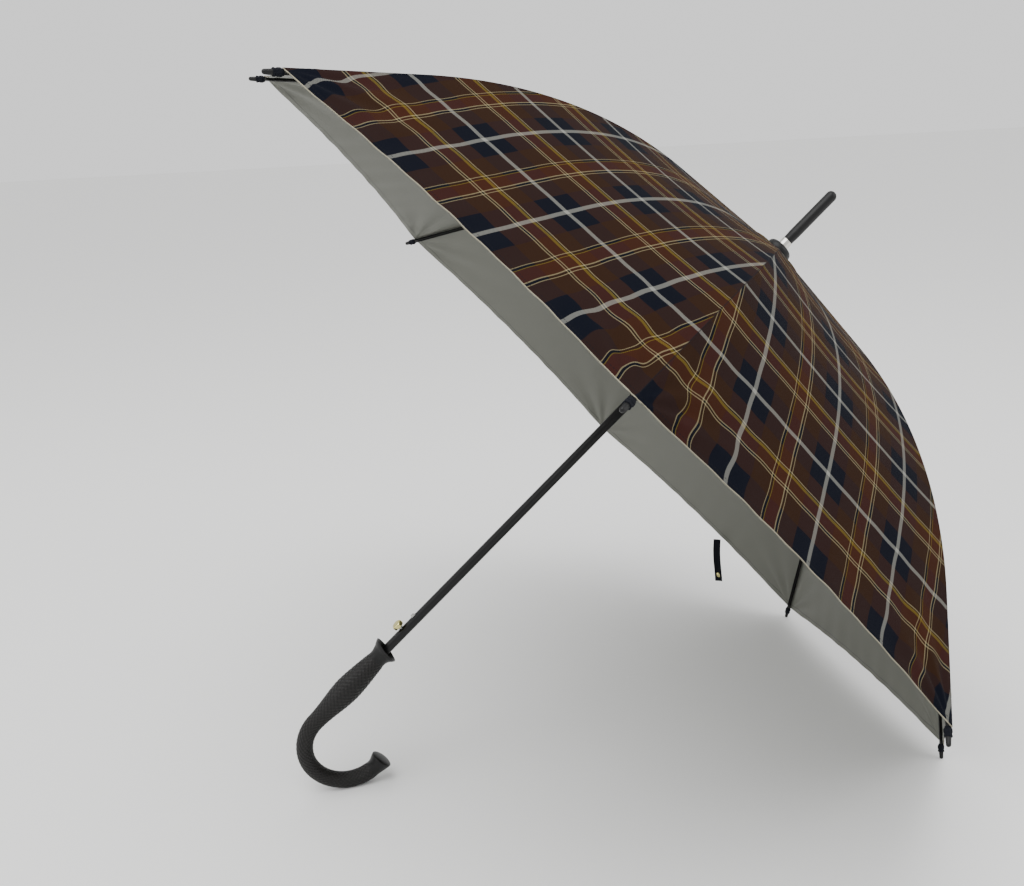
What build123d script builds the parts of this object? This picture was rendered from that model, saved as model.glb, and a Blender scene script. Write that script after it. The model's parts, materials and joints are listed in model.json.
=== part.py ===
"""Eight-rib stick umbrella with a crook handle, open and resting on two rib tips and its handle."""
from build123d import *
import math
import os

# Driving dimensions, millimetres and degrees. The shaft frame has z along the shaft, from the
# handle's lowest point to the ferrule's tip, and x towards the open side of the crook.
total_length = 835.0
rib_count = 8
first_rib_angle = 22.5
gap = 0.3
slip = 0.05

# shaft tube and its hardware
tube_r = 5.0
tube_bore_r = 4.2
tube_foot = 118.0
tube_head = 762.5
spike_r = 5.9
pin_r = 0.9

# crook handle
hook_r = 43.0
hook_tube_r = 8.0
hook_rise = 30.0
grip_r = 11.6
grip_belly = 100.0
neck_r = 9.0
neck_height = 136.0
collar_r = 14.2
collar_height = 153.0
collar_low_side = 147.5

# crown and runner hubs: the same notched disc on a wire ring
pivot_r = 12.0
crown_pivot = 742.0
wire_r = 0.6
hub_r = 15.0
hub_core_r = 9.3
notch_width = 2.4
runner_bore_r = 5.35
runner_r = 8.4
runner_skirt = 66.0

# rib line: straight, then an arc, then straight; slopes are measured below the hub's plane
root_slope = 13.0
tip_slope = 43.5
root_run = 165.0
arc_r = 530.0
tip_run = 130.0
rib_width = 3.2
rib_top = 1.3
rib_bottom = -1.5
channel_width = 2.0
flex_at = 285.0
tip_length = 15.0
tip_r = 2.9
tip_end_r = 2.1

# stretchers
joint_at = 240.0
closed_angle = 2.0
strip_gap = 2.1
strip_width = 0.9
strip_height = 3.0

# canopy cloth
cloth_lift = 2.9
cloth_thickness = 0.5
cloth_hole_r = 6.6
plateau_run = 30.0
crown_plateau = 745.5
hem_short = 15.4
hem_bow = 9.5

# tie strap
strap_length = 58.0
strap_width = 10.0
strap_place = -0.28
strap_inset = 16.0

# push button
button_height = 184.0
button_head_r = 5.8
button_head_height = 6.4
button_stand_off = 10.0
catch_drop = 61.0

arc_run = math.radians(tip_slope - root_slope) * arc_r
rib_length = root_run + arc_run + tip_run
half_sector = 180.0 / rib_count


def rib_slope(s):
    """Slope in radians at distance s from the crown pivot."""
    share = min(max((s - root_run) / arc_run, 0.0), 1.0)
    return math.radians(root_slope + share * (tip_slope - root_slope))


def rib_point(s, lift=0.0):
    """Radius and height at distance s along the rib line, raised by lift along its normal."""
    a0 = math.radians(root_slope)
    slope = rib_slope(s)
    straight = min(s, root_run)
    r = pivot_r + straight * math.cos(a0)
    z = crown_pivot - straight * math.sin(a0)
    if s > root_run:
        r += arc_r * (math.sin(slope) - math.sin(a0))
        z -= arc_r * (math.cos(a0) - math.cos(slope))
    beyond = max(s - root_run - arc_run, 0.0)
    r += beyond * math.cos(slope) + lift * math.sin(slope)
    z += -beyond * math.sin(slope) + lift * math.cos(slope)
    return r, z


def flat(point):
    """A point of the radial plane as a 3-D vector."""
    return Vector(point[0], 0, point[1])


joint_point = rib_point(joint_at)
stretcher_length = math.hypot(joint_point[0] - pivot_r, joint_point[1] - crown_pivot)
runner_pivot = 2 * joint_point[1] - crown_pivot
runner_closed = crown_pivot - 2 * stretcher_length * math.cos(math.radians(closed_angle))
catch_height = runner_closed - catch_drop
hook_height = hook_r + hook_tube_r
tip_point = rib_point(rib_length - tip_end_r)
lean_x = tip_point[0] * math.cos(math.radians(first_rib_angle)) - hook_r
lean_z = tip_point[1] - hook_height
lean = math.degrees(
    math.atan2(lean_z, lean_x) + math.asin((hook_height - tip_end_r) / math.hypot(lean_x, lean_z))
)


def along_y(radius, length, x, z):
    """A round bar along y, centred on the radial plane."""
    return Pos(x, 0, z) * Rot(90, 0, 0) * Cylinder(radius, length)


def rail(s0, s1, lift):
    """Edges that follow the rib line from s0 to s1 at a constant offset."""
    stops = [s0] + [s for s in (root_run, root_run + arc_run) if s0 < s < s1] + [s1]
    edges = []
    for a, b in zip(stops, stops[1:]):
        ends = flat(rib_point(a, lift)), flat(rib_point(b, lift))
        if a >= root_run and b <= root_run + arc_run:
            edges.append(Edge.make_three_point_arc(ends[0], flat(rib_point((a + b) / 2, lift)), ends[1]))
        else:
            edges.append(Edge.make_line(*ends))
    return edges


def band(s0, s1, top, bottom, width):
    """A bar of rectangular section that follows the rib line."""
    sides = [Edge.make_line(flat(rib_point(s, top)), flat(rib_point(s, bottom))) for s in (s0, s1)]
    outline = Wire(rail(s0, s1, top) + rail(s0, s1, bottom) + sides)
    return extrude(Face(outline), width / 2, dir=(0, 1, 0), both=True)


def rivet(s, radius, reach):
    """A rivet across the rib with a flat head at each end."""
    r, z = rib_point(s)
    heads = [Pos(0, side * (reach + 0.25), 0) * along_y(radius + 0.6, 0.5, r, z) for side in (-1, 1)]
    return along_y(radius, 2 * reach + 0.2, r, z) + heads


def rib_inner():
    """Fluted inner length of a rib, with the crown eye and the two rivets that it carries."""
    bar = band(7, flex_at + 1.5, rib_top, rib_bottom, rib_width)
    bar -= band(12, flex_at + 3, 0.6, rib_bottom - 0.2, channel_width)
    bar -= band(flex_at - 4, flex_at + 3, rib_top + 0.2, rib_bottom - 0.2, channel_width)
    bar += band(0, 12, rib_top, -rib_top, 1.8)
    bar += along_y(2.0, 1.8, pivot_r, crown_pivot)
    bar -= along_y(wire_r + 0.08, 4, pivot_r, crown_pivot)
    bar += rivet(joint_at, pin_r, strip_gap + strip_width + gap)
    bar += along_y(0.6, rib_width, *rib_point(flex_at))
    return bar


def rib_outer():
    """Fluted outer length of a rib: a tongue at the flexing place and a round end for the tip."""
    r, z = rib_point(flex_at)
    bar = band(flex_at + 2.6, rib_length - tip_length - gap, rib_top, rib_bottom, rib_width)
    bar -= band(flex_at + 8, rib_length - tip_length - 6, 0.6, rib_bottom - 0.2, channel_width)
    bar += band(flex_at, flex_at + 8, 1.1, -1.1, 1.2)
    bar += along_y(1.3, 1.2, r, z)
    bar -= along_y(0.6 + slip, 3, r, z)
    return bar + tip_plane(rib_length - tip_length - 4) * Pos(0, 0, 8) * Cylinder(1.2, 16)


def tip_plane(s):
    """Plane across the rib line at s, with its normal towards the tip."""
    slope = rib_slope(s)
    return Plane(origin=flat(rib_point(s)), x_dir=(0, 1, 0), z_dir=(math.cos(slope), 0, -math.sin(slope)))


def rib_tip():
    """Moulded end cap of a rib: a tapered sleeve with a rounded end."""
    length = tip_length - tip_end_r
    body = Pos(0, 0, length / 2) * Cone(tip_r, tip_end_r, length) + Pos(0, 0, length) * Sphere(tip_end_r)
    body -= Pos(0, 0, 6.5) * Cylinder(1.2 + slip, 13.2)
    return tip_plane(rib_length - tip_length) * body


def stretcher():
    """Forked stretcher: two strips that the rib passes between, a web and a thin eye on the runner wire."""
    reach = stretcher_length
    y = strip_gap + strip_width / 2
    body = Pos(reach - 13, 0, 0) * Box(6, 2 * y + strip_width, strip_height)
    body += Pos(reach - 63, 0, strip_height / 2 - 0.35) * Box(96, 2 * y + strip_width, 0.7)
    for side in (-1, 1):
        body += Pos(reach / 2 - 6, side * y, 0) * Box(reach - 16, strip_width, strip_height)
        body += Pos(0, side * y, 0) * Rot(90, 0, 0) * Cylinder(2.1, strip_width)
    body += Pos(reach - 6, 0, 0) * Box(12, 1.8, 2.6)
    body += along_y(2.0, 1.8, reach, 0)
    body -= along_y(wire_r + 0.08, 4, reach, 0)
    body -= along_y(pin_r + slip, 9, 0, 0)
    down = Vector(pivot_r - joint_point[0], 0, runner_pivot - joint_point[1])
    normal = Vector(-down.Z, 0, down.X)
    upward = normal if normal.Z > 0 else normal * -1
    return Plane(origin=flat(joint_point), x_dir=down, z_dir=upward) * body


def around(shape, index):
    """A copy of a radial-plane shape at rib number index."""
    return Rot(0, 0, first_rib_angle + index * 2 * half_sector) * shape


def notches(height, z):
    """The eight slots of a hub."""
    slot = Pos((hub_core_r + hub_r + 2) / 2, 0, z) * Box(hub_r + 2 - hub_core_r, notch_width, height)
    return [around(slot, i) for i in range(rib_count)]


def ring_groove(z, top):
    """Round groove that holds a hub's wire ring."""
    height = top - z + wire_r + 0.2
    groove = Cylinder(pivot_r + 0.8, height) - Cylinder(pivot_r - 0.8, height + 1)
    return Pos(0, 0, (top + z - wire_r - 0.2) / 2 + 0.05) * groove


def wire_ring(z):
    """Wire ring that the eyes hang on."""
    return Pos(0, 0, z) * Torus(pivot_r, wire_r)


def sleeve(r_out, r_in, z0, z1):
    """A plain tube on the shaft axis."""
    height = z1 - z0
    return Pos(0, 0, (z0 + z1) / 2) * (Cylinder(r_out, height) - Cylinder(r_in, height + 1))


def crown():
    """Notched hub fixed at the head of the shaft."""
    foot, top = crown_pivot - 4, crown_pivot + 2.6
    return sleeve(hub_r, tube_r + slip, foot, top) - notches(12, crown_pivot) - ring_groove(crown_pivot, top + 1)


def shaft_tube():
    """Steel tube with the openings for the button stem and the catch."""
    body = sleeve(tube_r, tube_bore_r, tube_foot, tube_head)
    body -= Pos(-tube_r, 0, button_height) * Rot(0, 90, 0) * Cylinder(2.4, 6)
    return body - Pos(-tube_r, 0, catch_height) * Box(6, 3.2, 8)


def top_cap():
    """Rounded cap that holds the cloth down on the crown."""
    body = sleeve(14.5, tube_r + slip, crown_plateau + 0.9, crown_plateau + 8.6)
    rim = body.edges().filter_by(GeomType.CIRCLE).sort_by(Axis.Z)[-2:].sort_by(SortBy.LENGTH)[-1]
    return fillet(rim, 5.5)


def ferrule_spike():
    """Moulded spike with a rounded end and a stem inside the tube."""
    foot = 763.0
    shoulder = total_length - spike_r
    outline = Polyline((0, foot), (spike_r - 0.5, foot), (spike_r, foot + 9), (spike_r, shoulder))
    halfway = spike_r * math.sqrt(0.5)
    outline += ThreePointArc((spike_r, shoulder), (halfway, shoulder + halfway), (0, total_length))
    outline += Line((0, total_length), (0, foot))
    body = revolve(Plane.XZ * make_face(outline), Axis.Z)
    return body + Pos(0, 0, foot - 10) * Cylinder(tube_bore_r - slip, 20)


def ferrule_ring():
    """Bright ring between the cap and the spike."""
    ring = sleeve(6.0, tube_r + slip, 754.2, tube_head + 0.2)
    return chamfer(ring.edges().filter_by(GeomType.CIRCLE).sort_by(SortBy.LENGTH)[-2:], 0.6)


def grip_profile():
    """Outline of the straight grip in the radial plane, up to the collar's rim."""
    foot = hook_height
    side = Spline(
        (hook_tube_r, 0, foot + 4), (10.2, 0, 80), (grip_r, 0, grip_belly), (10.4, 0, 120),
        (neck_r, 0, neck_height), (neck_r + 1.2, 0, neck_height + 7), (collar_r, 0, collar_height),
    )
    edges = [Line((0, 0, foot), (hook_tube_r, 0, foot))]
    edges += [Line((hook_tube_r, 0, foot), (hook_tube_r, 0, foot + 4))]
    edges += [side, Line((collar_r, 0, collar_height), (0, 0, collar_height))]
    edges += [Line((0, 0, collar_height), (0, 0, foot))]
    return Face(Wire([e.edge() for e in edges]))


def handle():
    """Crook handle with a swelling grip, a cupped and slanted collar and a flared end."""
    grip = revolve(grip_profile(), Axis.Z)
    tilt = math.degrees(math.atan2(collar_height - collar_low_side, 2 * collar_r))
    grip -= Pos(0, 0, (collar_height + collar_low_side) / 2 + 20) * Rot(0, tilt, 0) * Box(60, 60, 40)
    cup = Pos(0, 0, collar_height - 2) * Rot(0, tilt, 0) * Torus(9.6, 2.6)
    path = CenterArc((0, 0), hook_r, 180, 180 + hook_rise)
    path = Plane(origin=(hook_r, 0, hook_height), x_dir=(1, 0, 0), z_dir=(0, -1, 0)) * path
    section = Plane(origin=path @ 0, z_dir=path % 0) * Circle(hook_tube_r)
    hook = sweep(section, path)
    knob = Plane(origin=path @ 1, z_dir=path % 1) * (Pos(0, 0, -2) * Cone(hook_tube_r - 0.4, 10.2, 12))
    knob = fillet(knob.edges().filter_by(GeomType.CIRCLE).sort_by(SortBy.LENGTH)[-1], 2.2)
    body = grip - cup + hook + knob
    return body - Pos(0, 0, tube_foot + 30) * Cylinder(tube_r + slip, 61)


def push_button():
    """Button head, stem and the springy catch bar inside the tube, with its nose."""
    head = Cylinder(button_head_r, button_head_height)
    head = fillet(head.edges().sort_by(Axis.Z)[-1], 3.0)
    head = Pos(-button_stand_off, 0, button_height) * Rot(0, -90, 0) * head
    stem_end = 3.0
    stem_run = button_stand_off - stem_end
    stem = Pos(-(stem_end + stem_run / 2), 0, button_height) * Rot(0, 90, 0) * Cylinder(2.0, stem_run)
    bar_low, bar_high = button_height - 5, catch_height + 3
    bar = Pos(-3.1, 0, (bar_low + bar_high) / 2) * Box(0.8, 2.6, bar_high - bar_low)
    nose = Pos(-5.0, 0, catch_height) * Box(3.6, 2.4, 6)
    nose = chamfer(nose.edges().filter_by(Axis.Y).group_by(Axis.X)[0], 1.2)
    return head + stem + bar + nose


def button_spring():
    """Bent leaf that pushes the catch bar outwards."""
    low = button_height - 20
    leaf = Pos(1.0, 0, low - 8) * Box(0.5, 3.0, 12)
    arm = Polyline((0.75, low - 2.2), (1.25, low - 2.2), (-1.7, low + 12), (-2.2, low + 12), close=True)
    return leaf + extrude(Plane.XZ * make_face(arm), 1.5, both=True)


def runner():
    """Sliding sleeve: a notched hub, a skirt with a catch groove and a finger ring."""
    z, top = runner_pivot, runner_pivot + 3.2
    body = sleeve(hub_r, runner_bore_r, z - 4, top) - notches(12, z) - ring_groove(z, top + 1)
    body += sleeve(runner_r, runner_bore_r, z - runner_skirt, z - 3.9)
    body += sleeve(runner_r, runner_bore_r, z + 3, z + 8)
    body += sleeve(10.4, runner_bore_r, z - runner_skirt, z - runner_skirt + 5)
    return body - Pos(-5.6, 0, z - runner_skirt + 8) * Box(3.8, 3.4, 20)


def sheet_solid(outer, inner):
    """Closed thin solid between two grids of points, all faces triangles."""
    rows, cols = len(outer), len(outer[0])
    border = [(i, 0) for i in range(rows)] + [(rows - 1, j) for j in range(1, cols)]
    border += [(i, cols - 1) for i in range(rows - 2, -1, -1)] + [(0, j) for j in range(cols - 2, 0, -1)]
    quads = []
    for i in range(rows - 1):
        for j in range(cols - 1):
            for grid in (outer, inner):
                quads.append((grid[i][j], grid[i + 1][j], grid[i + 1][j + 1], grid[i][j + 1]))
    for (a, b), (c, d) in zip(border, border[1:] + border[:1]):
        quads.append((outer[a][b], outer[c][d], inner[c][d], inner[a][b]))
    faces = []
    for p, q, r, s in quads:
        faces.append(Face(Wire.make_polygon([p, q, r])))
        faces.append(Face(Wire.make_polygon([p, r, s])))
    return Solid(Shell(faces))


def cloth_point(s, across, lift):
    """Point of one gore in its own mid plane: straight from rib to rib, with a bowed hem.

    across runs from -1 to 1, from one rib seam to the next.
    """
    s = s - hem_bow * (1 - across ** 2) * (s / rib_length) ** 3
    r, z = rib_point(s, cloth_lift + lift)
    if s < plateau_run:
        share = min(max((s + pivot_r - cloth_hole_r) / (plateau_run + pivot_r - cloth_hole_r), 0.0), 1.0)
        fall = crown_plateau - rib_point(plateau_run, cloth_lift)[1]
        r, z = max(s + pivot_r, cloth_hole_r), crown_plateau + lift - fall * share ** 2
    half_angle = math.radians(half_sector)
    return Vector(r * math.cos(half_angle), across * (r * math.sin(half_angle) - gap / 2), z)


def gore(stations):
    """Cloth of one gore between two of its stations, in its own mid plane."""
    steps = [-1, -0.75, -0.5, -0.25, 0, 0.25, 0.5, 0.75, 1]
    outer = [[cloth_point(s, a, cloth_thickness) for a in steps] for s in stations]
    inner = [[cloth_point(s, a, 0) for a in steps] for s in stations]
    return Rot(0, 0, half_sector) * sheet_solid(outer, inner)


def spaced(first, last, count):
    """Evenly spaced stations, both ends included."""
    return [first + (last - first) * i / count for i in range(count + 1)]


def gore_inner():
    """Crown half of a gore, down to the place where its ribs flex."""
    return gore(spaced(cloth_hole_r - pivot_r, plateau_run - 9, 3) + spaced(plateau_run, flex_at - gap / 2, 12))


def gore_outer():
    """Hem half of a gore."""
    return gore(spaced(flex_at + gap / 2, rib_length - hem_short, 13))


def world_down():
    """The floor's direction in the shaft frame."""
    return Vector(math.sin(math.radians(lean)), 0, -math.cos(math.radians(lean)))


def strap_frame():
    """Place inside the hem of the first gore where the tie strap hangs straight down."""
    half_angle = math.radians(half_sector)
    r, z = rib_point(rib_length - hem_short, cloth_lift - 1.2)
    side = Vector(0, 1, 0)
    start = Vector(r * math.cos(half_angle) - strap_inset, strap_place * r * math.sin(half_angle), z)
    turn = first_rib_angle + half_sector
    return Plane(origin=start.rotate(Axis.Z, turn), x_dir=side.rotate(Axis.Z, turn), z_dir=world_down())


def tie_strap():
    """Narrow doubled strap with a rounded end, hanging from the hem, and its press stud."""
    body = Pos(0, 0, strap_length / 2 + 2) * Box(strap_width, 0.9, strap_length)
    body = fillet(body.edges().filter_by(Axis.Y).group_by(Axis.Z)[-1], 4.5)
    stud = Pos(0, 0.95, strap_length - 8) * Rot(90, 0, 0) * Cylinder(3.6, 1.0)
    return strap_frame() * (body + stud)


def assemble():
    """Every piece by node name, in the shaft frame."""
    nodes = {
        "shaft_tube": shaft_tube(),
        "handle": handle(),
        "crown": crown(),
        "crown_wire": wire_ring(crown_pivot),
        "top_cap": top_cap(),
        "ferrule_ring": ferrule_ring(),
        "ferrule_spike": ferrule_spike(),
        "button_spring": button_spring(),
        "push_button": push_button(),
        "runner": runner(),
        "runner_wire": wire_ring(runner_pivot),
        "tie_strap": tie_strap(),
    }
    makers = {
        "rib_inner": rib_inner(),
        "rib_outer": rib_outer(),
        "rib_tip": rib_tip(),
        "stretcher": stretcher(),
        "gore_inner": gore_inner(),
        "gore_outer": gore_outer(),
    }
    for name, shape in makers.items():
        for i in range(rib_count):
            nodes[f"{name}_{i + 1}"] = around(shape, i)
    return nodes


def stand(nodes):
    """Lean the umbrella on its two lowest tips and the crook, with the origin under its middle."""
    leaned = {name: Rot(0, lean, 0) * shape for name, shape in nodes.items()}
    boxes = [shape.bounding_box() for shape in leaned.values()]
    low_x = min(box.min.X for box in boxes)
    high_x = max(box.max.X for box in boxes)
    floor = min(box.min.Z for box in boxes)
    shift = Pos(-(low_x + high_x) / 2, 0, -floor)
    print(f"lean {lean:.6f} deg, shift {-(low_x + high_x) / 2:.4f} 0 {-floor:.4f}")
    return {name: shift * shape for name, shape in leaned.items()}


os.makedirs("parts", exist_ok=True)
for name, shape in stand(assemble()).items():
    export_step(shape, f"parts/{name}.step")
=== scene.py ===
import bpy
import json
import math
import numpy as np
from mathutils import Matrix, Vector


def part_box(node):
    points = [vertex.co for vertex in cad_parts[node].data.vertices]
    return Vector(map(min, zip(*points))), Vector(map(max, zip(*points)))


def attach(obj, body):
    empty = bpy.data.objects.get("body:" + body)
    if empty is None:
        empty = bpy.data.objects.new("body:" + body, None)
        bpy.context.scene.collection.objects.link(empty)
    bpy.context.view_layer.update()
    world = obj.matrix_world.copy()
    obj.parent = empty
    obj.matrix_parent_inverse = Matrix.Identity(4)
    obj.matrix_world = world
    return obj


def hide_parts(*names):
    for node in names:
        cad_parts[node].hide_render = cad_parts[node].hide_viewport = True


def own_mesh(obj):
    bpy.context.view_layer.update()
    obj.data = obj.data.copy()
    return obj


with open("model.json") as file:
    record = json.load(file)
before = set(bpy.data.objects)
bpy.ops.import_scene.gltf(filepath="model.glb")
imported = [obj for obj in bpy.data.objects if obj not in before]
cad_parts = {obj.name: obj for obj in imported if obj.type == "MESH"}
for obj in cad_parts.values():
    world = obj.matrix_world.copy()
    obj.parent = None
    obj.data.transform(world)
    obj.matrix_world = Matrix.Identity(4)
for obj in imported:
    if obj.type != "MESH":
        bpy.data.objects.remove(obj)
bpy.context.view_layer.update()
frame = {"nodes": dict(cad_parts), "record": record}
record = frame["record"]
joints = {joint["name"]: joint for joint in record["behaviour"]["joints"]}
mm = 0.001

# The umbrella's own axes in the row frame: up the shaft, and away from the button
shaftUp = np.array(record["mounts"][0]["axis"], float)
shaftUp /= np.linalg.norm(shaftUp)
crookSide = np.array(joints["button_press"]["axis"], float)
crookSide /= np.linalg.norm(crookSide)
shaftLeft = np.cross(shaftUp, crookSide)

# Rib line as the frame has it: a straight root, an arc and a straight end
rib = {
    "count": 8,
    "pivotR": 12 * mm,
    "pivotHeight": 742 * mm,
    "rootRun": 165 * mm,
    "arcR": 530 * mm,
    "rootSlope": math.radians(13),
    "tipSlope": math.radians(43.5),
    "tipRun": 130 * mm,
    "flexAt": 285 * mm,
}
rib["arcRun"] = (rib["tipSlope"] - rib["rootSlope"]) * rib["arcR"]
rib["length"] = rib["rootRun"] + rib["arcRun"] + rib["tipRun"]
halfSector = math.pi / rib["count"]

hub = np.mean([joints[f"rib_{k}_fold"]["pos_m"] for k in range(1, rib["count"] + 1)], axis=0)
shaftFoot = hub - shaftUp * rib["pivotHeight"]
print("frame loaded, hub at", hub.round(4))


def toRow(points):
    # shaft-frame points, z up the shaft, to the row frame
    points = np.asarray(points, float)
    turned = points[..., :1] * crookSide + points[..., 1:2] * shaftLeft + points[..., 2:3] * shaftUp
    return turned + shaftFoot


def turnAbout(points, angle):
    # points turned about the shaft
    x, y, z = np.moveaxis(np.asarray(points, float), -1, 0)
    c, s = math.cos(angle), math.sin(angle)
    return np.stack([x * c - y * s, x * s + y * c, z], -1)


def ribLine(s, lift):
    # radius and height at distance s from the pivot: run straight, turn on the arc, run straight
    a0 = rib["rootSlope"]
    slope = a0 + np.clip((s - rib["rootRun"]) / rib["arcRun"], 0, 1) * (rib["tipSlope"] - a0)
    straight = np.minimum(s, rib["rootRun"])
    beyond = np.maximum(s - rib["rootRun"] - rib["arcRun"], 0)
    r = rib["pivotR"] + straight * math.cos(a0) + rib["arcR"] * (np.sin(slope) - math.sin(a0))
    z = rib["pivotHeight"] - straight * math.sin(a0) - rib["arcR"] * (math.cos(a0) - np.cos(slope))
    r = r + beyond * np.cos(slope) + lift * np.sin(slope)
    z = z - beyond * np.sin(slope) + lift * np.cos(slope)
    return r, z


def smoothStep(x, start, end):
    # 0 before start, 1 after end, and 3t^2 - 2t^3 between
    t = np.clip((x - start) / (end - start), 0, 1)
    return t * t * (3 - 2 * t)


def unit(vectors):
    return vectors / np.maximum(np.linalg.norm(vectors, axis=-1, keepdims=True), 1e-12)


def gridNormals(grid):
    # cross product of the two directions of the grid
    return unit(np.cross(np.gradient(grid, axis=0), np.gradient(grid, axis=1)))


def quadGrid(rows, cols, first=0, wrap=False):
    # four corners of each cell of a grid whose points are numbered row by row
    index = first + np.arange(rows * cols).reshape(rows, cols)
    if wrap:
        index = np.concatenate([index, index[:, :1]], axis=1)
    return np.stack([index[:-1, :-1], index[1:, :-1], index[1:, 1:], index[:-1, 1:]], -1).reshape(-1, 4)


def addPiece(name, points, faces, materials, faceMaterial=None):
    # one smooth object at the origin, its place in its mesh
    mesh = bpy.data.meshes.new(name)
    mesh.from_pydata(points.tolist(), [], faces)
    for material in materials:
        mesh.materials.append(material)
    if faceMaterial is not None:
        mesh.polygons.foreach_set("material_index", np.asarray(faceMaterial, np.int32))
    mesh.polygons.foreach_set("use_smooth", np.ones(len(faces), bool))
    mesh.update()
    piece = bpy.data.objects.new(name, mesh)
    bpy.context.scene.collection.objects.link(piece)
    return piece


def addUv(piece, name, values):
    # one UV map from a pair of numbers at each point
    mesh = piece.data
    corner = np.empty(len(mesh.loops), np.int32)
    mesh.loops.foreach_get("vertex_index", corner)
    layer = mesh.uv_layers.new(name=name)
    layer.data.foreach_set("uv", values[corner].astype(np.float32).ravel())


def closedSheet(name, top, bottom, materials):
    # two grids joined round their border: top faces, bottom faces, then the rim
    rows, cols = top.shape[:2]
    count = rows * cols
    upper = quadGrid(rows, cols)
    lower = quadGrid(rows, cols, count)[:, ::-1]
    index = np.arange(count).reshape(rows, cols)
    border = np.concatenate([index[:-1, 0], index[-1, :-1], index[:0:-1, -1], index[0, :0:-1]])
    after = np.roll(border, -1)
    rim = np.stack([border, border + count, after + count, after], -1)
    faces = np.concatenate([upper, lower, rim])
    kinds = np.repeat([0, 1, 2], [len(upper), len(lower), len(rim)])
    points = np.concatenate([top.reshape(-1, 3), bottom.reshape(-1, 3)])
    return addPiece(name, points, faces.tolist(), materials, kinds)


def closedTube(name, rings, materials):
    # rings of points, each closed on itself, with a fan of triangles over each end
    rows, cols = rings.shape[:2]
    ends = np.stack([rings[0].mean(axis=0), rings[-1].mean(axis=0)])
    points = np.concatenate([rings.reshape(-1, 3), ends])
    sides = quadGrid(rows, cols, 0, True)
    ring = np.arange(cols)
    following = np.roll(ring, -1)
    last = (rows - 1) * cols
    startFan = np.stack([np.full(cols, rows * cols), ring, following], -1)
    endFan = np.stack([np.full(cols, rows * cols + 1), last + following, last + ring], -1)
    middle = points.mean(axis=0)
    a, b, c = (points[sides[:, n]] - middle for n in range(3))
    if np.sum(a * np.cross(b, c)) < 0:
        sides, startFan, endFan = sides[:, ::-1], startFan[:, ::-1], endFan[:, ::-1]
    return addPiece(name, points, sides.tolist() + startFan.tolist() + endFan.tolist(), materials)


def turnedRings(profile, count):
    # (r, z) pairs spun about the shaft
    angle = np.linspace(0, 2 * math.pi, count, endpoint=False)
    r, z = np.asarray(profile, float).T
    return np.stack([np.outer(r, np.cos(angle)), np.outer(r, np.sin(angle)), np.outer(z, np.ones(count))], -1)


def hexColour(code):
    # sRGB hex to linear colour
    channel = np.array([int(code[n : n + 2], 16) for n in (1, 3, 5)]) / 255
    linear = np.where(channel <= 0.04045, channel / 12.92, ((channel + 0.055) / 1.055) ** 2.4)
    return (*linear.tolist(), 1.0)


def addNode(tree, kind, inputs=None, **settings):
    # makes a node, sets its properties and feeds its inputs with links or values
    node = tree.nodes.new(kind)
    for key, value in settings.items():
        setattr(node, key, value)
    for key, source in (inputs or {}).items():
        if isinstance(source, bpy.types.NodeSocket):
            tree.links.new(source, node.inputs[key])
        else:
            node.inputs[key].default_value = source
    return node


def newMaterial(name, colour, roughness, **shader):
    # a Principled material with its constants set on the shader itself
    material = bpy.data.materials.new(name)
    material.use_nodes = True
    main = material.node_tree.nodes["Principled BSDF"]
    main.inputs["Base Color"].default_value = hexColour(colour)
    main.inputs["Roughness"].default_value = roughness
    for key, value in shader.items():
        main.inputs[key].default_value = value
    material.diffuse_color = hexColour(colour)
    return material, material.node_tree, main


def calc(tree, operation, a, b=0.0):
    return addNode(tree, "ShaderNodeMath", {0: a, 1: b}, operation=operation).outputs[0]


def bumpInto(tree, main, height, depth):
    # height from 0 to 1 raised by depth metres
    bump = addNode(tree, "ShaderNodeBump", {"Height": height, "Distance": depth, "Strength": 1.0})
    tree.links.new(bump.outputs["Normal"], main.inputs["Normal"])


def grainMaterial(name, colour, roughness, grain, depth, spread, **shader):
    # a plain surface with fine relief and a little unevenness in its gloss
    material, tree, main = newMaterial(name, colour, roughness, **shader)
    place = addNode(tree, "ShaderNodeTexCoord").outputs["Object"]
    noise = addNode(tree, "ShaderNodeTexNoise", {"Vector": place, "Scale": 1 / grain, "Detail": 3.0})
    bumpInto(tree, main, noise.outputs["Fac"], depth)
    patches = addNode(tree, "ShaderNodeTexNoise", {"Vector": place, "Scale": 1 / (24 * mm), "Detail": 2.0})
    low, high = roughness - spread, roughness + spread
    gloss = addNode(tree, "ShaderNodeMapRange", {"Value": patches.outputs["Fac"], "To Min": low, "To Max": high})
    tree.links.new(gloss.outputs["Result"], main.inputs["Roughness"])
    return material


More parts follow.
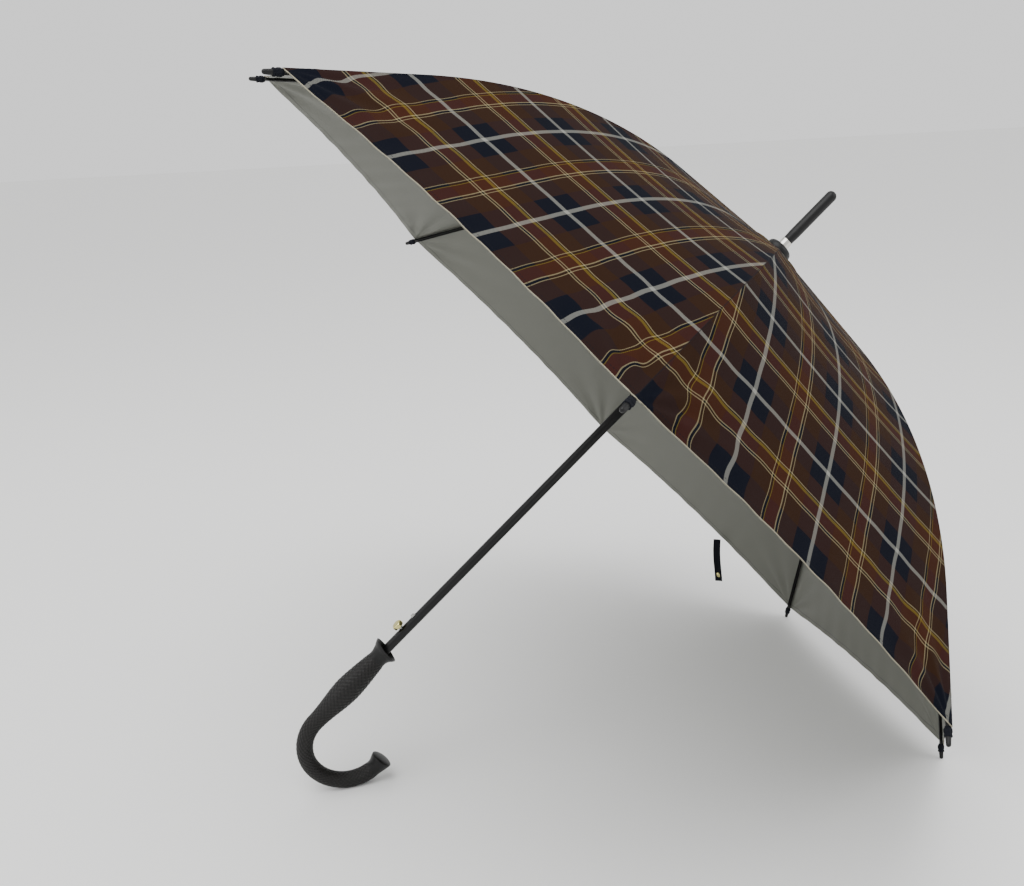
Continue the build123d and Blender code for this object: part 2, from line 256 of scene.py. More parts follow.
# Plaid woven to one repeat both ways: where each stripe starts, in mm, and its yarn
plaid = {
    "repeat": 95,
    "hemShift": 6,
    "hemStart": 11 * mm,  # the pattern nearer the hem than this is its plain dark band
    "ground": "#3a2516",  # the lightest of the dark yarns
    "lighter": 0.6,  # how far the lighter of two crossing dark yarns wins over their average
    "twillPitch": 1.3 * mm,  # real twill lines stand 0.5 mm apart, drawn coarser to show
    "hemStripes": (
        (0, "#7e7e78"), (2, "#060914"), (19, "#28170c"), (38.5, "#8a7f60"), (39.5, "#060504"),
        (41.5, "#8a7f60"), (42.5, "#34190d"), (54.5, "#6b5a1f"), (57.5, "#060504"), (58.5, "#8a7f60"),
        (59.5, "#28170c"), (76, "#060914"), (93, "#7e7e78"),
    ),
    "centreStripes": (
        (0, "#7e7e78"), (2, "#060914"), (19, "#26170b"), (39, "#8a7f60"), (40, "#060504"),
        (42, "#6b5a1f"), (42.8, "#34190d"), (54, "#8a7f60"), (55, "#060504"), (57.2, "#8a7f60"),
        (58.2, "#26170b"), (76, "#060914"), (93, "#7e7e78"),
    ),
}


def stripeColour(tree, coordinate, shift, stripes):
    # the share of the repeat that a place falls at picks the yarn
    turns = calc(tree, "DIVIDE", calc(tree, "SUBTRACT", coordinate, shift * mm), plaid["repeat"] * mm)
    ramp = addNode(tree, "ShaderNodeValToRGB", {"Fac": calc(tree, "FRACT", turns)})
    band = ramp.color_ramp
    band.interpolation = "CONSTANT"
    band.elements[0].color = hexColour(stripes[0][1])
    band.elements[1].position = stripes[1][0] / plaid["repeat"]
    band.elements[1].color = hexColour(stripes[1][1])
    for start, colour in stripes[2:]:
        band.elements.new(start / plaid["repeat"]).color = hexColour(colour)
    return ramp.outputs["Color"]


def splitUv(tree, name):
    uv = addNode(tree, "ShaderNodeUVMap", uv_map=name).outputs["UV"]
    parts = addNode(tree, "ShaderNodeSeparateXYZ", {"Vector": uv})
    return parts.outputs["X"], parts.outputs["Y"]


def twillHeight(tree, across, along):
    # diagonal ridges from the sum of the two directions, one to a pitch
    turns = calc(tree, "DIVIDE", calc(tree, "ADD", across, along), plaid["twillPitch"] / (2 * math.pi))
    wave = calc(tree, "SINE", turns)
    return calc(tree, "ADD", calc(tree, "MULTIPLY", wave, 0.5), 0.5)


def mixColour(tree, share, first, second, blend="MIX"):
    inputs = {0: share, 6: first, 7: second}
    return addNode(tree, "ShaderNodeMix", inputs, data_type="RGBA", blend_type=blend).outputs[2]


def makePlaidCloth():
    # woven polyester twill: two crossing sets of coloured yarn, dull with a faint sheen
    material, tree, main = newMaterial("plaid polyester twill", "#3a2c2a", 0.75, **{"Specular IOR Level": 0.05})
    across, along = splitUv(tree, "cloth")
    inward = calc(tree, "MAXIMUM", along, plaid["hemStart"])
    hemYarn = stripeColour(tree, inward, plaid["hemShift"], plaid["hemStripes"])
    centreYarn = stripeColour(tree, across, 0, plaid["centreStripes"])
    twill = twillHeight(tree, across, along)
    share = calc(tree, "ADD", calc(tree, "MULTIPLY", twill, 0.3), 0.35)
    even = addNode(tree, "ShaderNodeMix", {0: share, 6: hemYarn, 7: centreYarn}, data_type="RGBA")
    # of two dark yarns the lighter one shows more; bright yarns stay at their average
    ground = [mixColour(tree, 1.0, yarn, hexColour(plaid["ground"]), "DARKEN") for yarn in (hemYarn, centreYarn)]
    floated = mixColour(tree, plaid["lighter"], even.outputs[2], mixColour(tree, 1.0, *ground, "LIGHTEN"))
    yarn = mixColour(tree, 1.0, even.outputs[2], floated, "LIGHTEN")
    toSeam, toHem = splitUv(tree, "edges")
    # the needle line of the hem, stitches 3 mm long
    dash = calc(tree, "LESS_THAN", calc(tree, "FRACT", calc(tree, "DIVIDE", across, 3 * mm)), 0.6)
    line = calc(tree, "COMPARE", toHem, 5 * mm)
    line.node.inputs[2].default_value = 0.4 * mm
    stitch = calc(tree, "MULTIPLY", dash, line)
    stitched = addNode(
        tree, "ShaderNodeMix",
        {0: calc(tree, "MULTIPLY", stitch, 0.6), 6: yarn, 7: hexColour("#15151a")}, data_type="RGBA",
    )
    # the seam over each rib sinks into shadow, and the silver back turns over at the very edge
    seam = calc(tree, "MULTIPLY", calc(tree, "LESS_THAN", toSeam, 0.5 * mm), 0.55)
    seamed = addNode(
        tree, "ShaderNodeMix", {0: seam, 6: stitched.outputs[2], 7: hexColour("#15151a")}, data_type="RGBA"
    )
    turned = calc(tree, "LESS_THAN", toHem, 0.8 * mm)
    edged = addNode(
        tree, "ShaderNodeMix", {0: turned, 6: seamed.outputs[2], 7: hexColour("#8f8a78")}, data_type="RGBA"
    )
    tree.links.new(edged.outputs[2], main.inputs["Base Color"])
    bumpInto(tree, main, calc(tree, "SUBTRACT", twill, stitch), 0.08 * mm)
    return material


def makeSilverBack():
    # polyurethane coat with aluminium flake on the cloth's back: grey, half dull, with the weave under it
    material, tree, main = newMaterial("silver-coated back", "#63645c", 0.52, **{"Metallic": 0.15})
    across, along = splitUv(tree, "cloth")
    toSeam, toHem = splitUv(tree, "edges")
    twill = twillHeight(tree, across, along)
    # painted shade: a dark line where the hem steps at its fold, 6 mm in from the edge, and a band of painted
    # shade 4 mm wide beside each seam over a rib
    fold = calc(tree, "COMPARE", toHem, 6 * mm)
    fold.node.inputs[2].default_value = 0.5 * mm
    seam = calc(tree, "LESS_THAN", toSeam, 4 * mm)
    dark = calc(tree, "MAXIMUM", calc(tree, "MULTIPLY", fold, 0.5), calc(tree, "MULTIPLY", seam, 0.2))
    shade = addNode(
        tree, "ShaderNodeMix", {0: dark, 6: hexColour("#63645c"), 7: hexColour("#2c2c2a")}, data_type="RGBA"
    )
    tree.links.new(shade.outputs[2], main.inputs["Base Color"])
    bumpInto(tree, main, twill, 0.05 * mm)
    return material


def makeWebbing():
    # narrow navy polyester tape: cross ribs of thread
    material, tree, main = newMaterial("navy woven tape", "#0b0d15", 0.8, **{"Specular IOR Level": 0.15})
    across, along = splitUv(tree, "cloth")
    ridge = calc(tree, "SINE", calc(tree, "DIVIDE", along, 1.2 * mm / (2 * math.pi)))
    bumpInto(tree, main, calc(tree, "ADD", calc(tree, "MULTIPLY", ridge, 0.5), 0.5), 0.12 * mm)
    return material


def makeBraid():
    # moulded rubber with a plaited-leather face: black, satin, its grooves darker than its crests by painted shade
    material, tree, main = newMaterial(
        "black plaited leather-look rubber", "#0b0a09", 0.4, **{"Specular IOR Level": 0.3}
    )
    crest = splitUv(tree, "plait")[0]
    # painted shade: the plait's grooves are coloured darker than its crests
    shade = mixColour(tree, crest, hexColour("#010101"), hexColour("#100d0b"))
    tree.links.new(shade, main.inputs["Base Color"])
    place = addNode(tree, "ShaderNodeTexCoord").outputs["Object"]
    grain = addNode(tree, "ShaderNodeTexVoronoi", {"Vector": place, "Scale": 1 / (1.1 * mm)})
    bumpInto(tree, main, grain.outputs["Distance"], 0.08 * mm)
    return material


finish = {
    "plaid": makePlaidCloth(),
    "silver": makeSilverBack(),
    "edge": newMaterial("turned silver hem edge", "#8f8a78", 0.6)[0],
    "webbing": makeWebbing(),
    "braid": makeBraid(),
    # black enamel baked on steel: smooth and glossy, a little uneven
    "enamel": grainMaterial(
        "black baked enamel", "#040405", 0.3, 2 * mm, 0.01 * mm, 0.05, **{"Specular IOR Level": 0.3}
    ),
    # moulded ABS: black, satin, with fine spark texture
    "plastic": grainMaterial(
        "black moulded ABS", "#050506", 0.42, 0.8 * mm, 0.015 * mm, 0.05, **{"Specular IOR Level": 0.3}
    ),
    # spring steel, drawn and plated
    "steel": grainMaterial("bright drawn steel", "#a8a8a6", 0.28, 1 * mm, 0.01 * mm, 0.05, Metallic=1.0),
    "nickel": grainMaterial("nickel-plated ring", "#c9c7c0", 0.14, 3 * mm, 0.005 * mm, 0.04, Metallic=1.0),
    "brass": grainMaterial("polished pale brass", "#c9c084", 0.18, 3 * mm, 0.008 * mm, 0.04, Metallic=1.0),
}
print("materials made")

# CAD nodes that stay as they are, by the start of their names
nodeFinish = {
    "shaft_tube": "enamel", "crown_wire": "steel", "crown": "plastic", "top_cap": "plastic",
    "ferrule_ring": "nickel", "ferrule_spike": "plastic", "button_spring": "steel",
    "push_button": "brass", "runner_wire": "steel", "runner": "plastic",
    "rib_tip": "plastic", "rib_": "enamel", "stretcher": "enamel", "handle": "braid",
    "gore": "silver", "tie_strap": "webbing",
}
for nodeName, node in frame["nodes"].items():
    key = next(start for start in nodeFinish if nodeName.startswith(start))
    node.data.materials.clear()
    node.data.materials.append(finish[nodeFinish[key]])

# Canopy: eight gores sewn over the ribs, each cut here where the folding frame bends
canopy = {
    "lift": 3.15 * mm,  # of the cloth's middle above the rib line
    "halfThickness": 0.25 * mm,
    "holeR": 6.6 * mm,
    "plateauRun": 30 * mm,
    "plateau": 745.75 * mm,
    "hemShort": 15.4 * mm,
    "hemBow": 9.5 * mm,
    "sag": 4 * mm,
    "foldDepth": 2.4 * mm,
    "foldReach": 52 * mm,
    "foldSlope": 0.035,
    "foldsPerTurn": 11,
    "stripeWaver": 4.5 * mm,
    "printOffsets": (-5 * mm, 20 * mm),  # of the print from the middle of even and odd gores
    "waveDepth": 0.4 * mm,
    "waveReach": 62 * mm,
    "waveLengths": (34 * mm, 52 * mm),
    "stitchRow": 5 * mm,
    "pucker": 0.12 * mm,
    "puckerPitch": 7 * mm,
    "seamRise": 0.35 * mm,
    "columns": 81,
    "cuts": (90 * mm, 200 * mm, 285 * mm),
    "keeps": (0.25, 0.16, 0.11, 0.11),
}


def canopyRows():
    # stations from the crown to the hem, closer together at both ends, with one on each cut
    hem = rib["length"] - canopy["hemShort"]
    stops = [canopy["holeR"] - rib["pivotR"], canopy["plateauRun"], *canopy["cuts"], hem - 60 * mm, hem]
    counts = (6, 10, 14, 12, 28, 24)
    spans = [np.linspace(a, b, n + 1)[:-1] for a, b, n in zip(stops, stops[1:], counts)]
    return np.append(np.concatenate(spans), hem)


def goreGrid(k):
    # Middle surface of gore k in its own plane. Straight chords between two ribs, pulled towards the
    # crown at the hem as 1 - u^2, sunk a little between the ribs as (1 - u^2) sin(pi s / length),
    # then raised along the normal by the folds that fan from both tips, waves along the hem and the seam.
    rows = canopyRows()
    w = np.linspace(-1, 1, canopy["columns"])
    u = 0.6 * w + 0.4 * np.sin(math.pi / 2 * w)
    s, u = np.meshgrid(rows, u, indexing="ij")
    pulled = s - canopy["hemBow"] * (1 - u**2) * (s / rib["length"]) ** 3
    r, z = ribLine(pulled, canopy["lift"])
    r0, z0 = ribLine(np.array(canopy["plateauRun"]), canopy["lift"])
    start = canopy["holeR"] - rib["pivotR"]
    share = np.clip((pulled - start) / (canopy["plateauRun"] - start), 0, 1)
    flat = pulled < canopy["plateauRun"]
    r = np.where(flat, np.maximum(pulled + rib["pivotR"], canopy["holeR"]), r)
    z = np.where(flat, canopy["plateau"] - (canopy["plateau"] - z0) * share**2, z)
    halfWidth = r * math.sin(halfSector)
    grid = np.stack([r * math.cos(halfSector), u * halfWidth, z], -1)
    bend = np.sin(math.pi * np.clip(s / rib["length"], 0, 1))
    toSeam = (1 - np.abs(u)) * halfWidth
    toHem = rows[-1] - s
    toTip = rib["length"] - 13 * mm - s
    away = np.hypot(toSeam, toTip)
    fan = np.cos(canopy["foldsPerTurn"] * np.arctan2(toSeam, toTip) + 0.4 * np.sin(k + np.sign(u)))
    # the folds get shallower as they narrow towards the tip
    depth = np.minimum(canopy["foldDepth"] * np.exp(-away / canopy["foldReach"]), canopy["foldSlope"] * away)
    folds = depth * fan * (1 - np.exp(-((toSeam / (5 * mm)) ** 2)))
    x = u * halfWidth
    first, second = (2 * math.pi * x / length for length in canopy["waveLengths"])
    waves = np.sin(first + 1.7 * k) + 0.6 * np.sin(second + 2.9 * k)
    waves = waves * canopy["waveDepth"] * np.exp(-toHem / canopy["waveReach"]) * (1 - u**2)
    byStitches = np.exp(-(((toHem - canopy["stitchRow"]) / (3 * mm)) ** 2)) * (1 - u**2)
    pucker = canopy["pucker"] * np.sin(2 * math.pi * x / canopy["puckerPitch"]) * byStitches
    seam = canopy["seamRise"] * np.exp(-((toSeam / (1.5 * mm)) ** 2))
    raised = folds + waves + pucker + seam - canopy["sag"] * (1 - u**2) * bend
    grid = grid + sharedNormals(grid) * raised[..., None]
    # the gathered cloth draws its stripes into waves near the tips
    drawn = canopy["stripeWaver"] * np.exp(-away / canopy["foldReach"]) * (1 - np.exp(-((toSeam / (9 * mm)) ** 2)))
    printX = x - canopy["printOffsets"][k % 2] + drawn * np.sin(2 * math.pi * toHem / (38 * mm) + k)
    printY = toHem + drawn * np.sin(2 * math.pi * x / (33 * mm) + 2 * k)
    return grid, printX, printY, toSeam, toHem


def sharedNormals(grid):
    # normals that lie in the rib's plane along each seam, so that neighbours share their edge
    normals = gridNormals(grid)
    for column, side in ((0, -1), (-1, 1)):
        across = np.array([-side * math.sin(halfSector), math.cos(halfSector), 0])
        edge = normals[:, column]
        normals[:, column] = unit(edge - (edge @ across)[:, None] * across)
    return normals


def makeGore(k):
    angle = 2 * halfSector * k
    grid, printX, printY, toSeam, toHem = goreGrid(k)
    normals = sharedNormals(grid)
    shading = unit(toRow(turnAbout(gridNormals(grid), angle)) - toRow(np.zeros(3)))
    hemFold = 0.3 * mm * (1 - smoothStep(toHem, 5 * mm, 7 * mm))
    top = toRow(turnAbout(grid + normals * canopy["halfThickness"], angle))
    bottom = toRow(turnAbout(grid - normals * (canopy["halfThickness"] + hemFold)[..., None], angle))
    rows = canopyRows()
    cuts = [int(np.argmin(np.abs(rows - cut))) for cut in canopy["cuts"]]
    bounds = [0, *cuts, len(rows) - 1]
    for part, keep in enumerate(canopy["keeps"]):
        span = slice(bounds[part], bounds[part + 1] + 1)
        outer = part == len(canopy["keeps"]) - 1
        piece = closedSheet(
            f"canopyGore{k}Part{part + 1}", top[span], bottom[span],
            [finish["plaid"], finish["silver"], finish["edge"] if outer else finish["silver"]],
        )
        pair = lambda a, b: np.tile(np.stack([a[span].ravel(), b[span].ravel()], -1), (2, 1))
        addUv(piece, "cloth", pair(printX, printY))
        addUv(piece, "edges", pair(toSeam, toHem))
        facing = shading[span].reshape(-1, 3)
        piece.data.normals_split_custom_set_from_vertices(np.concatenate([facing, -facing]).tolist())
        half = "outer" if outer else "inner"
        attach(piece, f"gore_{half}_{k}")
        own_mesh(piece)
        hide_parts(f"gore_{half}_{k}")


for k in range(1, rib["count"] + 1):
    makeGore(k)
print("canopy made")

# Gathered cloth pocket where each corner of the canopy is tied to its rib's tip
pocket = {
    "from": 16.4 * mm, "to": 8 * mm, "startR": 2.5 * mm, "r": 3.6 * mm, "endR": 3.3 * mm, "pleats": 7,
    "depth": 0.25 * mm,
}
# Thread wrapped round each rib where a seam is tacked to it
threadTie = {"places": (150 * mm, 420 * mm), "r": 2.5 * mm, "halfLength": 1.3 * mm}


def ribRings(stations, radius, lift, angle):
    # rings across the rib line; radius is an array of rows and angles
    r, z = ribLine(stations, lift)
    forward = unit(np.stack([np.gradient(r), np.zeros_like(r), np.gradient(z)], -1))
    side = np.array([0.0, 1.0, 0.0])
    normal = np.cross(forward, side)
    theta = np.linspace(0, 2 * math.pi, radius.shape[1], endpoint=False)
    centre = np.stack([r, np.zeros_like(r), z], -1)[:, None]
    ring = np.cos(theta)[None, :, None] * side + np.sin(theta)[None, :, None] * normal[:, None]
    return toRow(turnAbout(centre + ring * radius[..., None], angle))


def makeTipPocket(k):
    # a sleeve whose radius carries a cosine of pleats, tied in near its end
    stations = np.linspace(rib["length"] - pocket["from"], rib["length"] - pocket["to"], 22)
    t = np.linspace(0, 1, 22)[:, None]
    theta = np.linspace(0, 2 * math.pi, 56, endpoint=False)[None, :]
    tied = 0.5 * mm * np.exp(-(((t - 0.72) / 0.09) ** 2))
    pleats = pocket["depth"] * np.cos(pocket["pleats"] * theta + 2 * t + k) * (0.4 + 0.6 * t)
    opened = (pocket["startR"] - pocket["r"]) * (1 - smoothStep(t, 0.0, 0.3))
    radius = pocket["r"] + (pocket["endR"] - pocket["r"]) * t + opened + pleats * smoothStep(t, 0.1, 0.3) - tied
    piece = closedTube(
        f"tipPocket{k}", ribRings(stations, radius, 0.0, halfSector * (2 * k - 1)), [finish["webbing"]]
    )
    angles = np.broadcast_to(theta * 3 * mm, radius.shape).ravel()
    along = np.broadcast_to(stations[:, None], radius.shape).ravel()
    ends = np.array([[0, stations[0]], [0, stations[-1]]])
    addUv(piece, "cloth", np.concatenate([np.stack([angles, along], -1), ends]))
    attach(piece, f"rib_outer_{k}")


def makeThreadTies(k):
    # three turns of thread side by side: the radius swells three times along the wrap
    for place, half in zip(threadTie["places"], ("inner", "outer")):
        t = np.linspace(-1, 1, 25)
        turns = 0.22 * mm * np.abs(np.cos(1.5 * math.pi * t))[:, None]
        radius = threadTie["r"] + turns + np.zeros((25, 20))
        stations = place + t * threadTie["halfLength"]
        rings = ribRings(stations, radius, 0.0, halfSector * (2 * k - 1))
        piece = closedTube(f"threadTie{half.title()}{k}", rings, [finish["plastic"]])
        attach(piece, f"rib_{half}_{k}")


for k in range(1, rib["count"] + 1):
    makeTipPocket(k)
    makeThreadTies(k)
print("tip pockets and thread ties made")

# Crook handle: collar, neck, grip, hook and flared end along one path
crook = {
    "hookR": 43 * mm,
    "hookTop": 51.8 * mm,
    "hookTurn": math.radians(186),
    "collarTop": 156.3 * mm,
    "collarSlant": 5.2 / 30,
    "endRun": 4 * mm,
    "strandPitch": 5 * mm,
    "strandsRound": 14,
    "relief": 0.9 * mm,
    "aroundCount": 168,
}
# radius in mm at distances in mm down the path from the collar's rim
gripRadii = (
    (0, 15.0), (2.5, 13.9), (5, 12.2), (8, 10.8), (11, 9.9), (14.3, 9.7), (20, 10.3), (28, 11.3),
    (36.3, 12.2), (47, 13.2), (58.3, 13.6), (69, 12.9), (80.3, 11.4), (90, 10.1), (100, 9.2), (110, 8.9),
    (228, 8.8), (236, 8.9), (240, 9.7), (244, 10.9), (247, 11.7), (248.1, 11.9),
)

# inside of the cup: radius, and depth below the middle of the rim, in mm
cupProfile = ((5.57, 7), (7, 6.6), (9.5, 5), (12, 2.4), (13.7, 0.5), (14.7, -0.25))


def smoothCurve(x, knots):
    # joins the knots with cubics whose slope at each knot is the mean of its two sides
    kx, ky = np.asarray(knots, float).T
    slope = np.gradient(ky, kx)
    i = np.clip(np.searchsorted(kx, x, side="right") - 1, 0, len(kx) - 2)
    h = kx[i + 1] - kx[i]
    t = (x - kx[i]) / h
    return (
        ky[i] * (1 + 2 * t) * (1 - t) ** 2 + h * slope[i] * t * (1 - t) ** 2
        + ky[i + 1] * t * t * (3 - 2 * t) - h * slope[i + 1] * t * t * (1 - t)
    )


def makeHandle():
    # Rings carried down the shaft and round the hook. The radius follows the grip's curve, plus two
    # crossing sets of strands: |sin a| times |sin b|, a dome on each diamond.
    straight = crook["collarTop"] - crook["hookTop"]
    pathEnd = straight + crook["hookR"] * crook["hookTurn"] + crook["endRun"]
    p = np.linspace(0, pathEnd, 420)
    turn = np.clip((p - straight) / crook["hookR"], 0, crook["hookTurn"])
    down = np.minimum(p, straight)
    beyond = np.maximum(p - straight - crook["hookR"] * crook["hookTurn"], 0)
    cx = crook["hookR"] * (1 - np.cos(turn)) + beyond * np.sin(turn)
    cz = crook["collarTop"] - down - crook["hookR"] * np.sin(turn) - beyond * np.cos(turn)
    outward = np.stack([-np.cos(turn), np.zeros_like(p), -np.sin(turn)], -1)
    side = np.array([0.0, 1.0, 0.0])
    centre = np.stack([cx, np.zeros_like(p), cz], -1)
    theta = np.linspace(0, 2 * math.pi, crook["aroundCount"], endpoint=False)
    radius = smoothCurve(p / mm, gripRadii)[:, None] * mm
    a = crook["strandsRound"] / 2 * theta[None, :] + math.pi * p[:, None] / crook["strandPitch"]
    b = crook["strandsRound"] / 2 * theta[None, :] - math.pi * p[:, None] / crook["strandPitch"]
    strands = np.sqrt(np.abs(np.sin(a) * np.sin(b)))
    plain = smoothStep(p, 12 * mm, 18 * mm) * (1 - smoothStep(p, pathEnd - 18 * mm, pathEnd - 12 * mm))
    radius = radius + crook["relief"] * (strands - 0.5) * plain[:, None]
    ring = np.cos(theta)[None, :, None] * outward[:, None] + np.sin(theta)[None, :, None] * side
    rings = centre[:, None] + ring * radius[..., None]
    # the rim slants down towards the crook's open side
    slant = 1 - smoothStep(p, 0, 14 * mm)
    rings[..., 2] -= crook["collarSlant"] * rings[..., 0] * slant[:, None]
    # inside of the cup, from the shaft out to the rim
    cupR, cupDrop = np.array(cupProfile).T * mm
    cup = np.cos(theta)[None, :, None] * outward[0] + np.sin(theta)[None, :, None] * side
    cup = cup * cupR[:, None, None] + np.array([0, 0, 1]) * (crook["collarTop"] - cupDrop)[:, None, None]
    cup[..., 2] -= crook["collarSlant"] * cup[..., 0]
    # rounded end of the hook
    capR = radius[-1].mean() * np.cos(np.linspace(0.2, 1.5, 8))
    capRise = 2.4 * mm * np.sin(np.linspace(0.2, 1.5, 8))
    ahead = np.array([math.sin(turn[-1]), 0, -math.cos(turn[-1])])
    cap = centre[-1] + ahead * capRise[:, None, None] + ring[-1] * capR[:, None, None]
    piece = closedTube("crookHandle", toRow(np.concatenate([cup, rings, cap])), [finish["braid"]])
    # height of the plait at each point, and the way down the path
    crest = np.concatenate([np.zeros(cup.shape[:2]), strands * plain[:, None], np.zeros(cap.shape[:2])])
    down = np.concatenate([np.zeros(len(cup)), p, np.full(len(cap), pathEnd)])[:, None] + np.zeros_like(crest)
    ends = np.array([[0, 0], [0, pathEnd]])
    addUv(piece, "plait", np.concatenate([np.stack([crest.ravel(), down.ravel()], -1), ends]))
    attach(piece, "shaft")
    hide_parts("handle")


makeHandle()
print("handle made")

# Opening button: a domed brass head on a stem, with the catch inside the shaft
button = {
    "height": 184 * mm,
    "headR": 5.8 * mm,
    "headFoot": 8.2 * mm,
    "headTop": 13.2 * mm,
    "round": 2.6 * mm,
    "stemR": 2 * mm,
    "stemFoot": 3.6 * mm,
    "barLow": 179 * mm,
    "barHigh": 204.7 * mm,
    "barOut": 3.6 * mm,
    "barHalf": 0.4 * mm,
    "barHalfWidth": 1.25 * mm,
    "noseHeight": 201.7 * mm,
    "noseReach": 3.3 * mm,
}


def makeButton():
    # the head and the stem are turned about the line that points away from the crook's open side
    side, down, out = np.array([0, 1.0, 0]), np.array([0, 0, -1.0]), np.array([-1.0, 0, 0])
    rise = np.linspace(0, math.pi / 2, 10)
    corner = button["headR"] - button["round"], button["headTop"] - button["round"]
    dome = [(corner[0] + button["round"] * math.cos(a), corner[1] + button["round"] * math.sin(a)) for a in rise]
    foot = [(0.5 * mm, 0), (5.1 * mm, 0), (5.6 * mm, 0.15 * mm), (5.8 * mm, 0.6 * mm)]
    head = [(r, button["headFoot"] + h) for r, h in foot] + dome + [(1.6 * mm, button["headTop"] + 0.1 * mm)]
    stem = [(0.4 * mm, button["stemFoot"]), (button["stemR"], button["stemFoot"]), (button["stemR"], 8.4 * mm)]
    centre = np.array([0, 0, button["height"]])
    for name, profile, look in (("pushButtonHead", head, "brass"), ("pushButtonStem", stem, "steel")):
        rings = turnedRings(profile, 48)
        rings = centre + rings[..., :1] * side + rings[..., 1:2] * down + rings[..., 2:3] * out
        piece = closedTube(name, toRow(rings), [finish[look]])
        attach(piece, "button")
        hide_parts("push_button")
    # the catch bar: upright rounded rectangles that swell outwards at the nose as a smooth step up and down
    z = np.linspace(button["barLow"], button["barHigh"], 60)
    near = np.abs(z - button["noseHeight"])
    reach = button["noseReach"] * (1 - smoothStep(near, 1.6 * mm, 2.9 * mm))
    theta = np.linspace(0, 2 * math.pi, 40, endpoint=False)
    square = lambda values: np.sign(values) * np.abs(values) ** 0.35
    depth = button["barHalf"] + reach / 2
    x = -(button["barOut"] + reach / 2)[:, None] + depth[:, None] * square(np.cos(theta))
    y = np.broadcast_to(button["barHalfWidth"] * square(np.sin(theta)), x.shape)
    catch = closedTube(
        "pushButtonCatch", toRow(np.stack([x, y, np.broadcast_to(z[:, None], x.shape)], -1)), [finish["steel"]]
    )
    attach(catch, "button")
    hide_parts("push_button")


makeButton()
print("button made")

# Tie strap: doubled tape hanging from the hem of the first gore, with its press stud
tie = {
    "width": 10 * mm,
    "halfThickness": 0.45 * mm,
    "bow": 2.2 * mm,
    "turn": math.radians(22),  # about the plumb line, away from the gore's own direction
    "longer": 5 * mm,
    "stud": ((3.2, -1), (3.6, 0), (3.6, 0.6), (2.6, 1.1), (0.6, 1.3)),  # radius and height, mm
}


def makeTieStrap():
    # a strip hanging plumb whose middle is bowed by a half sine, slightly cupped across its width
    low, high = (np.array(corner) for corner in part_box("tie_strap"))
    middle = (low + high) / 2
    side = np.array(joints["gore_1_fold"]["axis"], float)
    side = unit(side - side[2] * np.array([0, 0, 1.0]))
    c, s = math.cos(tie["turn"]), math.sin(tie["turn"])
    side = np.array([c * side[0] - s * side[1], s * side[0] + c * side[1], 0])
    facing = np.cross(side, [0, 0, 1.0])
    length = high[2] - low[2] + tie["longer"]
    t, w = np.meshgrid(np.linspace(0, 1, 30), np.linspace(-1, 1, 9), indexing="ij")
    bow = tie["bow"] * np.sin(math.pi * t) - 0.5 * mm * w**2
    slip = 1.5 * mm * np.sin(1.3 * math.pi * t)
    drop = np.array([0, 0, 1.0]) * (high[2] - t * length - middle[2])[..., None]
    grid = middle + drop + side * (w * tie["width"] / 2 + slip)[..., None] + facing * bow[..., None]
    normals = gridNormals(grid)
    top, bottom = grid + normals * tie["halfThickness"], grid - normals * tie["halfThickness"]
    strap = closedSheet("tieStrap", top, bottom, [finish["webbing"]])
    values = np.stack([(w * tie["width"] / 2).ravel(), (t * length).ravel()], -1)
    addUv(strap, "cloth", np.tile(values, (2, 1)))
    stud = turnedRings([(r * mm, h * mm) for r, h in tie["stud"]], 32)
    seat = top[25, 4]
    axis, level = normals[25, 4], unit(top[26, 4] - top[24, 4])
    stud = seat + stud[..., :1] * side + stud[..., 1:2] * level + stud[..., 2:3] * axis
    snap = closedTube("tieStrapStud", stud, [finish["brass"]])
    for piece, name in ((strap, "strap_cloth"), (snap, "button_brass")):
        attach(piece, "gore_outer_1")
    for piece in (strap, snap):
        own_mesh(piece)
    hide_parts("tie_strap")


makeTieStrap()
print("tie strap made")


def makeFloor():
    mesh = bpy.data.meshes.new("floor")
    reach = 12
    corners = [(-reach, -reach, 0), (reach, -reach, 0), (reach, reach, 0), (-reach, reach, 0)]
    mesh.from_pydata(corners, [], [(0, 1, 2, 3)])
    floor = bpy.data.objects.new("floor", mesh)
    bpy.context.scene.collection.objects.link(floor)
    mesh.materials.append(newMaterial("pale matt paper", "#f6f6f5", 0.9)[0])


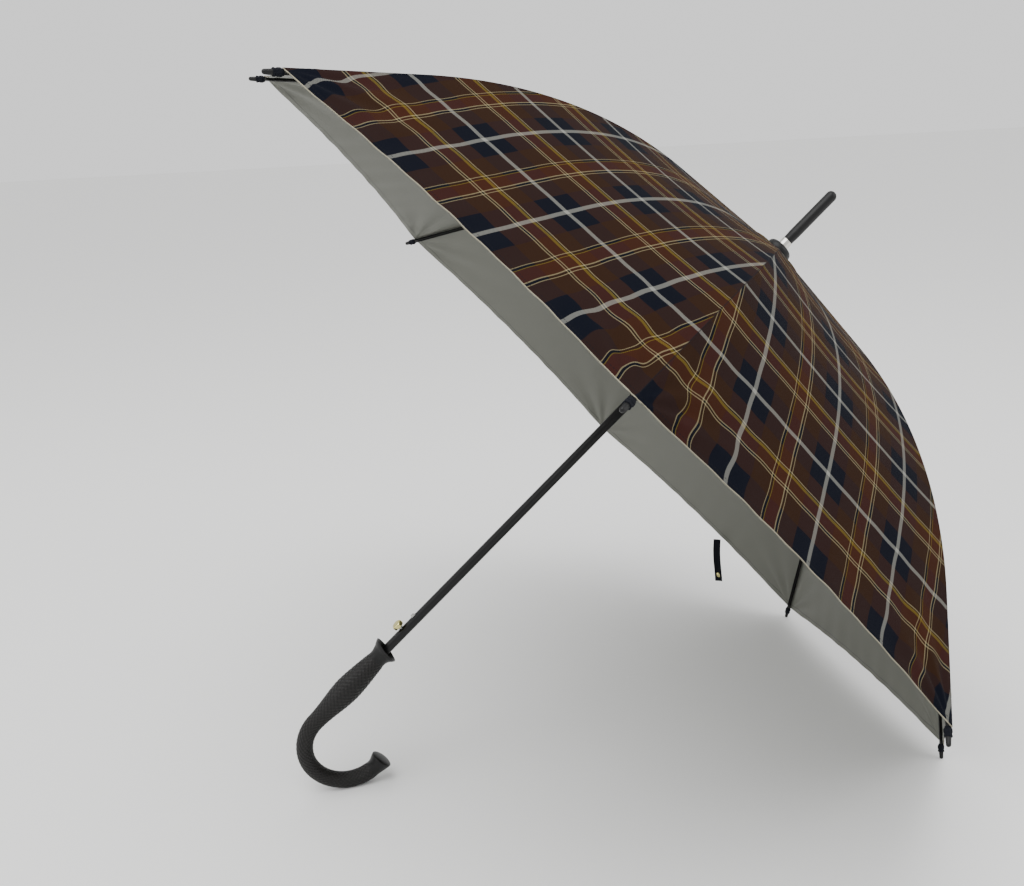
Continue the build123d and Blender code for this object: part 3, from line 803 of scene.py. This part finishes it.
def addLight(name, place, target, size, power):
    light = bpy.data.lights.new(name, "AREA")
    light.size, light.energy = size, power
    lamp = bpy.data.objects.new(name, light)
    lamp.location = place
    away = np.array(place, float) - np.array(target, float)
    back = unit(away)
    right = unit(np.cross([0, 0, 1.0], back))
    up = np.cross(back, right)
    lamp.matrix_world = placed(right, up, back, place)
    bpy.context.scene.collection.objects.link(lamp)


def placed(right, up, back, place):
    # matrix of an object that looks away from back
    rows = [[right[n], up[n], back[n], place[n]] for n in range(3)]
    return Matrix([*rows, [0, 0, 0, 1]])


makeFloor()
world = bpy.data.worlds.new("studio")
world.use_nodes = True
world.node_tree.nodes["Background"].inputs["Color"].default_value = hexColour("#fdfdfd")
world.node_tree.nodes["Background"].inputs["Strength"].default_value = 1.12
bpy.context.scene.world = world
addLight("softbox above", (-0.6, -0.8, 3.0), (0, 0, 0.3), 2.5, 70)
addLight("softbox right", (2.4, -1.6, 1.8), (0.1, 0, 0.4), 1.6, 22)
addLight("softbox left", (-2.6, -0.4, 1.4), (0, 0, 0.3), 1.4, 10)

view = {
    "place": (-0.3230, -1.1626, 0.7083),
    "heading": (0.3222, 0.9467),
    "down": math.radians(18.65),
    "roll": math.radians(-2.06),
    "lens": 41.72,
    "shift": (-0.1418, 0.0377),
}


def makeCamera():
    # looks along its heading, tipped down, then rolled about the line of sight
    hx, hy = view["heading"]
    ahead = unit(np.array([hx * math.cos(view["down"]), hy * math.cos(view["down"]), -math.sin(view["down"])]))
    right = unit(np.cross(ahead, [0, 0, 1.0]))
    up = np.cross(right, ahead)
    c, s = math.cos(view["roll"]), math.sin(view["roll"])
    lens = bpy.data.cameras.new("camera")
    lens.sensor_fit, lens.sensor_width, lens.lens = "HORIZONTAL", 36, view["lens"]
    lens.shift_x, lens.shift_y = view["shift"]
    lens.clip_start = 0.01
    camera = bpy.data.objects.new("camera", lens)
    camera.matrix_world = placed(right * c + up * s, up * c - right * s, -ahead, view["place"])
    bpy.context.scene.collection.objects.link(camera)
    bpy.context.scene.camera = camera


makeCamera()
print("stage, lights and camera made")
